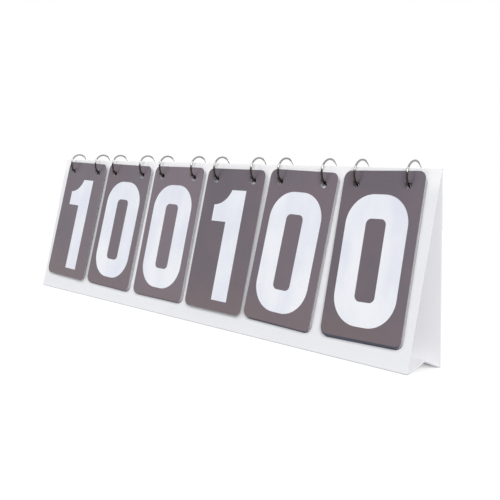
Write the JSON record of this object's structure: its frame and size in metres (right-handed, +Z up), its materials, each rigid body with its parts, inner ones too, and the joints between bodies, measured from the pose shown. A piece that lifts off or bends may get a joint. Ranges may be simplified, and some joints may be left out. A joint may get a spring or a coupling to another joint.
{
  "type": "flip scoreboard",
  "caption": "Tabletop flip scoreboard: digit cards hung on loose-leaf rings along the ridge of a folding tent stand.",
  "frame": {"origin": "on the ground, midway between the stand's feet and midway along its length", "axes": "+X along the ridge, to the right as the digits are read; -Y out of the cards' faces; +Z up"},
  "size_m": [0.59, 0.0603, 0.1869],
  "materials": {
    "white_sheet": "satin",
    "grey_card": "satin",
    "ring_steel": "polished"
  },
  "bodies": {
    "stand_front": {"front_panel": "white_sheet", "ring_1": "ring_steel", "ring_2": "ring_steel", "ring_3": "ring_steel", "ring_4": "ring_steel", "ring_5": "ring_steel", "ring_6": "ring_steel", "ring_7": "ring_steel", "ring_8": "ring_steel", "ring_9": "ring_steel", "ring_10": "ring_steel", "ring_11": "ring_steel", "ring_12": "ring_steel"},
    "stand_back": {"back_panel": "white_sheet"},
    "base_front": {"base_front_half": "white_sheet"},
    "base_rear": {"base_rear_half": "white_sheet"},
    "card_1_digit_1": {"card_1_digit_1": "grey_card"},
    "card_1_digit_0": {"card_1_digit_0": "grey_card"},
    "card_2_digit_0": {"card_2_digit_0": "grey_card"},
    "card_2_digit_1": {"card_2_digit_1": "grey_card"},
    "card_2_digit_2": {"card_2_digit_2": "grey_card"},
    "card_2_digit_3": {"card_2_digit_3": "grey_card"},
    "card_2_digit_4": {"card_2_digit_4": "grey_card"},
    "card_2_digit_5": {"card_2_digit_5": "grey_card"},
    "card_2_digit_6": {"card_2_digit_6": "grey_card"},
    "card_2_digit_7": {"card_2_digit_7": "grey_card"},
    "card_2_digit_8": {"card_2_digit_8": "grey_card"},
    "card_2_digit_9": {"card_2_digit_9": "grey_card"},
    "card_3_digit_0": {"card_3_digit_0": "grey_card"},
    "card_3_digit_1": {"card_3_digit_1": "grey_card"},
    "card_3_digit_2": {"card_3_digit_2": "grey_card"},
    "card_3_digit_3": {"card_3_digit_3": "grey_card"},
    "card_3_digit_4": {"card_3_digit_4": "grey_card"},
    "card_3_digit_5": {"card_3_digit_5": "grey_card"},
    "card_3_digit_6": {"card_3_digit_6": "grey_card"},
    "card_3_digit_7": {"card_3_digit_7": "grey_card"},
    "card_3_digit_8": {"card_3_digit_8": "grey_card"},
    "card_3_digit_9": {"card_3_digit_9": "grey_card"},
    "card_4_digit_1": {"card_4_digit_1": "grey_card"},
    "card_4_digit_0": {"card_4_digit_0": "grey_card"},
    "card_5_digit_0": {"card_5_digit_0": "grey_card"},
    "card_5_digit_1": {"card_5_digit_1": "grey_card"},
    "card_5_digit_2": {"card_5_digit_2": "grey_card"},
    "card_5_digit_3": {"card_5_digit_3": "grey_card"},
    "card_5_digit_4": {"card_5_digit_4": "grey_card"},
    "card_5_digit_5": {"card_5_digit_5": "grey_card"},
    "card_5_digit_6": {"card_5_digit_6": "grey_card"},
    "card_5_digit_7": {"card_5_digit_7": "grey_card"},
    "card_5_digit_8": {"card_5_digit_8": "grey_card"},
    "card_5_digit_9": {"card_5_digit_9": "grey_card"},
    "card_6_digit_0": {"card_6_digit_0": "grey_card"},
    "card_6_digit_1": {"card_6_digit_1": "grey_card"},
    "card_6_digit_2": {"card_6_digit_2": "grey_card"},
    "card_6_digit_3": {"card_6_digit_3": "grey_card"},
    "card_6_digit_4": {"card_6_digit_4": "grey_card"},
    "card_6_digit_5": {"card_6_digit_5": "grey_card"},
    "card_6_digit_6": {"card_6_digit_6": "grey_card"},
    "card_6_digit_7": {"card_6_digit_7": "grey_card"},
    "card_6_digit_8": {"card_6_digit_8": "grey_card"},
    "card_6_digit_9": {"card_6_digit_9": "grey_card"}
  },
  "joints": [
    {"name": "stand_fold", "type": "hinge", "parent": "stand_front", "child": "stand_back", "pos_m": [0, 0, 0.1785], "axis": [-1, 0, 0], "range_deg": [0, 7.5]},
    {"name": "base_front_fold", "type": "hinge", "parent": "stand_front", "child": "base_front", "pos_m": [0, -0.02759, 0.00134], "axis": [1, 0, 0], "range_deg": [0, 60]},
    {"name": "base_rear_fold", "type": "hinge", "parent": "stand_back", "child": "base_rear", "pos_m": [0, 0.02759, 0.00134], "axis": [-1, 0, 0], "range_deg": [0, 60]},
    {"name": "card_1_digit_1_flip", "type": "hinge", "parent": "stand_front", "child": "card_1_digit_1", "pos_m": [-0.23705, 0, 0.1729], "axis": [-1, 0, 0], "range_deg": [0, 185]},
    {"name": "card_1_digit_0_lift", "type": "hinge", "parent": "stand_back", "child": "card_1_digit_0", "pos_m": [-0.23705, 0, 0.1729], "axis": [1, 0, 0], "range_deg": [0, 36]},
    {"name": "card_2_digit_1_fan", "type": "hinge", "parent": "stand_front", "child": "card_2_digit_1", "pos_m": [-0.14175, 0, 0.1729], "axis": [1, 0, 0], "range_deg": [-45, 0]},
    {"name": "card_2_digit_2_fan", "type": "hinge", "parent": "stand_front", "child": "card_2_digit_2", "pos_m": [-0.14175, 0, 0.1729], "axis": [1, 0, 0], "range_deg": [-40.01, 0]},
    {"name": "card_2_digit_3_fan", "type": "hinge", "parent": "stand_front", "child": "card_2_digit_3", "pos_m": [-0.14175, 0, 0.1729], "axis": [1, 0, 0], "range_deg": [-35.01, 0]},
    {"name": "card_2_digit_4_fan", "type": "hinge", "parent": "stand_front", "child": "card_2_digit_4", "pos_m": [-0.14175, 0, 0.1729], "axis": [1, 0, 0], "range_deg": [-30.01, 0]},
    {"name": "card_2_digit_5_fan", "type": "hinge", "parent": "stand_front", "child": "card_2_digit_5", "pos_m": [-0.14175, 0, 0.1729], "axis": [1, 0, 0], "range_deg": [-25.01, 0]},
    {"name": "card_2_digit_6_fan", "type": "hinge", "parent": "stand_front", "child": "card_2_digit_6", "pos_m": [-0.14175, 0, 0.1729], "axis": [1, 0, 0], "range_deg": [-20.01, 0]},
    {"name": "card_2_digit_7_fan", "type": "hinge", "parent": "stand_front", "child": "card_2_digit_7", "pos_m": [-0.14175, 0, 0.1729], "axis": [1, 0, 0], "range_deg": [-15.01, 0]},
    {"name": "card_2_digit_8_fan", "type": "hinge", "parent": "stand_front", "child": "card_2_digit_8", "pos_m": [-0.14175, 0, 0.1729], "axis": [1, 0, 0], "range_deg": [-10.01, 0]},
    {"name": "card_2_digit_9_fan", "type": "hinge", "parent": "stand_front", "child": "card_2_digit_9", "pos_m": [-0.14175, 0, 0.1729], "axis": [1, 0, 0], "range_deg": [-5.01, 0]},
    {"name": "card_2_digit_0_flip", "type": "hinge", "parent": "card_2_digit_1", "child": "card_2_digit_0", "pos_m": [-0.14175, 0, 0.1729], "axis": [-1, 0, 0], "range_deg": [0, 205]},
    {"name": "card_3_digit_1_fan", "type": "hinge", "parent": "stand_front", "child": "card_3_digit_1", "pos_m": [-0.04645, 0, 0.1729], "axis": [1, 0, 0], "range_deg": [-45, 0]},
    {"name": "card_3_digit_2_fan", "type": "hinge", "parent": "stand_front", "child": "card_3_digit_2", "pos_m": [-0.04645, 0, 0.1729], "axis": [1, 0, 0], "range_deg": [-40.01, 0]},
    {"name": "card_3_digit_3_fan", "type": "hinge", "parent": "stand_front", "child": "card_3_digit_3", "pos_m": [-0.04645, 0, 0.1729], "axis": [1, 0, 0], "range_deg": [-35.01, 0]},
    {"name": "card_3_digit_4_fan", "type": "hinge", "parent": "stand_front", "child": "card_3_digit_4", "pos_m": [-0.04645, 0, 0.1729], "axis": [1, 0, 0], "range_deg": [-30.01, 0]},
    {"name": "card_3_digit_5_fan", "type": "hinge", "parent": "stand_front", "child": "card_3_digit_5", "pos_m": [-0.04645, 0, 0.1729], "axis": [1, 0, 0], "range_deg": [-25.01, 0]},
    {"name": "card_3_digit_6_fan", "type": "hinge", "parent": "stand_front", "child": "card_3_digit_6", "pos_m": [-0.04645, 0, 0.1729], "axis": [1, 0, 0], "range_deg": [-20.01, 0]},
    {"name": "card_3_digit_7_fan", "type": "hinge", "parent": "stand_front", "child": "card_3_digit_7", "pos_m": [-0.04645, 0, 0.1729], "axis": [1, 0, 0], "range_deg": [-15.01, 0]},
    {"name": "card_3_digit_8_fan", "type": "hinge", "parent": "stand_front", "child": "card_3_digit_8", "pos_m": [-0.04645, 0, 0.1729], "axis": [1, 0, 0], "range_deg": [-10.01, 0]},
    {"name": "card_3_digit_9_fan", "type": "hinge", "parent": "stand_front", "child": "card_3_digit_9", "pos_m": [-0.04645, 0, 0.1729], "axis": [1, 0, 0], "range_deg": [-5.01, 0]},
    {"name": "card_3_digit_0_flip", "type": "hinge", "parent": "card_3_digit_1", "child": "card_3_digit_0", "pos_m": [-0.04645, 0, 0.1729], "axis": [-1, 0, 0], "range_deg": [0, 205]},
    {"name": "card_4_digit_1_flip", "type": "hinge", "parent": "stand_front", "child": "card_4_digit_1", "pos_m": [0.04885, 0, 0.1729], "axis": [-1, 0, 0], "range_deg": [0, 185]},
    {"name": "card_4_digit_0_lift", "type": "hinge", "parent": "stand_back", "child": "card_4_digit_0", "pos_m": [0.04885, 0, 0.1729], "axis": [1, 0, 0], "range_deg": [0, 36]},
    {"name": "card_5_digit_1_fan", "type": "hinge", "parent": "stand_front", "child": "card_5_digit_1", "pos_m": [0.14415, 0, 0.1729], "axis": [1, 0, 0], "range_deg": [-45, 0]},
    {"name": "card_5_digit_2_fan", "type": "hinge", "parent": "stand_front", "child": "card_5_digit_2", "pos_m": [0.14415, 0, 0.1729], "axis": [1, 0, 0], "range_deg": [-40.01, 0]},
    {"name": "card_5_digit_3_fan", "type": "hinge", "parent": "stand_front", "child": "card_5_digit_3", "pos_m": [0.14415, 0, 0.1729], "axis": [1, 0, 0], "range_deg": [-35.01, 0]},
    {"name": "card_5_digit_4_fan", "type": "hinge", "parent": "stand_front", "child": "card_5_digit_4", "pos_m": [0.14415, 0, 0.1729], "axis": [1, 0, 0], "range_deg": [-30.01, 0]},
    {"name": "card_5_digit_5_fan", "type": "hinge", "parent": "stand_front", "child": "card_5_digit_5", "pos_m": [0.14415, 0, 0.1729], "axis": [1, 0, 0], "range_deg": [-25.01, 0]},
    {"name": "card_5_digit_6_fan", "type": "hinge", "parent": "stand_front", "child": "card_5_digit_6", "pos_m": [0.14415, 0, 0.1729], "axis": [1, 0, 0], "range_deg": [-20.01, 0]},
    {"name": "card_5_digit_7_fan", "type": "hinge", "parent": "stand_front", "child": "card_5_digit_7", "pos_m": [0.14415, 0, 0.1729], "axis": [1, 0, 0], "range_deg": [-15.01, 0]},
    {"name": "card_5_digit_8_fan", "type": "hinge", "parent": "stand_front", "child": "card_5_digit_8", "pos_m": [0.14415, 0, 0.1729], "axis": [1, 0, 0], "range_deg": [-10.01, 0]},
    {"name": "card_5_digit_9_fan", "type": "hinge", "parent": "stand_front", "child": "card_5_digit_9", "pos_m": [0.14415, 0, 0.1729], "axis": [1, 0, 0], "range_deg": [-5.01, 0]},
    {"name": "card_5_digit_0_flip", "type": "hinge", "parent": "card_5_digit_1", "child": "card_5_digit_0", "pos_m": [0.14415, 0, 0.1729], "axis": [-1, 0, 0], "range_deg": [0, 205]},
    {"name": "card_6_digit_1_fan", "type": "hinge", "parent": "stand_front", "child": "card_6_digit_1", "pos_m": [0.23945, 0, 0.1729], "axis": [1, 0, 0], "range_deg": [-45, 0]},
    {"name": "card_6_digit_2_fan", "type": "hinge", "parent": "stand_front", "child": "card_6_digit_2", "pos_m": [0.23945, 0, 0.1729], "axis": [1, 0, 0], "range_deg": [-40.01, 0]},
    {"name": "card_6_digit_3_fan", "type": "hinge", "parent": "stand_front", "child": "card_6_digit_3", "pos_m": [0.23945, 0, 0.1729], "axis": [1, 0, 0], "range_deg": [-35.01, 0]},
    {"name": "card_6_digit_4_fan", "type": "hinge", "parent": "stand_front", "child": "card_6_digit_4", "pos_m": [0.23945, 0, 0.1729], "axis": [1, 0, 0], "range_deg": [-30.01, 0]},
    {"name": "card_6_digit_5_fan", "type": "hinge", "parent": "stand_front", "child": "card_6_digit_5", "pos_m": [0.23945, 0, 0.1729], "axis": [1, 0, 0], "range_deg": [-25.01, 0]},
    {"name": "card_6_digit_6_fan", "type": "hinge", "parent": "stand_front", "child": "card_6_digit_6", "pos_m": [0.23945, 0, 0.1729], "axis": [1, 0, 0], "range_deg": [-20.01, 0]},
    {"name": "card_6_digit_7_fan", "type": "hinge", "parent": "stand_front", "child": "card_6_digit_7", "pos_m": [0.23945, 0, 0.1729], "axis": [1, 0, 0], "range_deg": [-15.01, 0]},
    {"name": "card_6_digit_8_fan", "type": "hinge", "parent": "stand_front", "child": "card_6_digit_8", "pos_m": [0.23945, 0, 0.1729], "axis": [1, 0, 0], "range_deg": [-10.01, 0]},
    {"name": "card_6_digit_9_fan", "type": "hinge", "parent": "stand_front", "child": "card_6_digit_9", "pos_m": [0.23945, 0, 0.1729], "axis": [1, 0, 0], "range_deg": [-5.01, 0]},
    {"name": "card_6_digit_0_flip", "type": "hinge", "parent": "card_6_digit_1", "child": "card_6_digit_0", "pos_m": [0.23945, 0, 0.1729], "axis": [-1, 0, 0], "range_deg": [0, 205]}
  ],
  "couplings": [
    {"joint": "base_front_fold", "follows": "stand_fold", "ratio": 8},
    {"joint": "base_rear_fold", "follows": "stand_fold", "ratio": 8},
    {"joint": "card_2_digit_2_fan", "follows": "card_2_digit_1_fan", "ratio": 0.88889},
    {"joint": "card_2_digit_3_fan", "follows": "card_2_digit_1_fan", "ratio": 0.77778},
    {"joint": "card_2_digit_4_fan", "follows": "card_2_digit_1_fan", "ratio": 0.66667},
    {"joint": "card_2_digit_5_fan", "follows": "card_2_digit_1_fan", "ratio": 0.55556},
    {"joint": "card_2_digit_6_fan", "follows": "card_2_digit_1_fan", "ratio": 0.44444},
    {"joint": "card_2_digit_7_fan", "follows": "card_2_digit_1_fan", "ratio": 0.33333},
    {"joint": "card_2_digit_8_fan", "follows": "card_2_digit_1_fan", "ratio": 0.22222},
    {"joint": "card_2_digit_9_fan", "follows": "card_2_digit_1_fan", "ratio": 0.11111},
    {"joint": "card_3_digit_2_fan", "follows": "card_3_digit_1_fan", "ratio": 0.88889},
    {"joint": "card_3_digit_3_fan", "follows": "card_3_digit_1_fan", "ratio": 0.77778},
    {"joint": "card_3_digit_4_fan", "follows": "card_3_digit_1_fan", "ratio": 0.66667},
    {"joint": "card_3_digit_5_fan", "follows": "card_3_digit_1_fan", "ratio": 0.55556},
    {"joint": "card_3_digit_6_fan", "follows": "card_3_digit_1_fan", "ratio": 0.44444},
    {"joint": "card_3_digit_7_fan", "follows": "card_3_digit_1_fan", "ratio": 0.33333},
    {"joint": "card_3_digit_8_fan", "follows": "card_3_digit_1_fan", "ratio": 0.22222},
    {"joint": "card_3_digit_9_fan", "follows": "card_3_digit_1_fan", "ratio": 0.11111},
    {"joint": "card_5_digit_2_fan", "follows": "card_5_digit_1_fan", "ratio": 0.88889},
    {"joint": "card_5_digit_3_fan", "follows": "card_5_digit_1_fan", "ratio": 0.77778},
    {"joint": "card_5_digit_4_fan", "follows": "card_5_digit_1_fan", "ratio": 0.66667},
    {"joint": "card_5_digit_5_fan", "follows": "card_5_digit_1_fan", "ratio": 0.55556},
    {"joint": "card_5_digit_6_fan", "follows": "card_5_digit_1_fan", "ratio": 0.44444},
    {"joint": "card_5_digit_7_fan", "follows": "card_5_digit_1_fan", "ratio": 0.33333},
    {"joint": "card_5_digit_8_fan", "follows": "card_5_digit_1_fan", "ratio": 0.22222},
    {"joint": "card_5_digit_9_fan", "follows": "card_5_digit_1_fan", "ratio": 0.11111},
    {"joint": "card_6_digit_2_fan", "follows": "card_6_digit_1_fan", "ratio": 0.88889},
    {"joint": "card_6_digit_3_fan", "follows": "card_6_digit_1_fan", "ratio": 0.77778},
    {"joint": "card_6_digit_4_fan", "follows": "card_6_digit_1_fan", "ratio": 0.66667},
    {"joint": "card_6_digit_5_fan", "follows": "card_6_digit_1_fan", "ratio": 0.55556},
    {"joint": "card_6_digit_6_fan", "follows": "card_6_digit_1_fan", "ratio": 0.44444},
    {"joint": "card_6_digit_7_fan", "follows": "card_6_digit_1_fan", "ratio": 0.33333},
    {"joint": "card_6_digit_8_fan", "follows": "card_6_digit_1_fan", "ratio": 0.22222},
    {"joint": "card_6_digit_9_fan", "follows": "card_6_digit_1_fan", "ratio": 0.11111}
  ]
}
